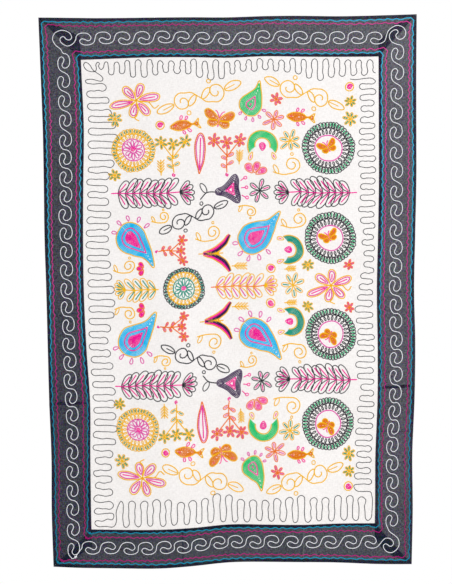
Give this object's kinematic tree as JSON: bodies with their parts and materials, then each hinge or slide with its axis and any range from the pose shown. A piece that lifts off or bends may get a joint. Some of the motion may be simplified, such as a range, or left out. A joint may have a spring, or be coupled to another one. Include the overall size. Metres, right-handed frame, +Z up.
{
  "type": "embroidered cotton wall hanging",
  "caption": "Upright rectangular cloth hanging: a cream cotton panel worked in chain stitch, framed by mitred strips of dark sheer voile.",
  "frame": {"origin": "middle of the top edge, in the plane that the cloth is held in", "axes": "+Z up along the cloth, +X to the viewer's right along the top edge, and the embroidered face looks along -Y"},
  "size_m": [1.034, 0.012, 1.5151],
  "materials": {
    "cream_cotton": "plain-woven cream cotton, matt, with a fine even weave",
    "dark_voile": "open plain-woven dark navy voile, matt and slightly sheer, darker where it is doubled",
    "embroidery_thread": "stranded rayon and cotton thread in chain stitch, with a soft sheen"
  },
  "bodies": {
    "root": {"panel": "cream_cotton", "strip_top": "dark_voile", "strip_bottom": "dark_voile", "strip_left": "dark_voile", "strip_right": "dark_voile"}
  },
  "joints": []
}
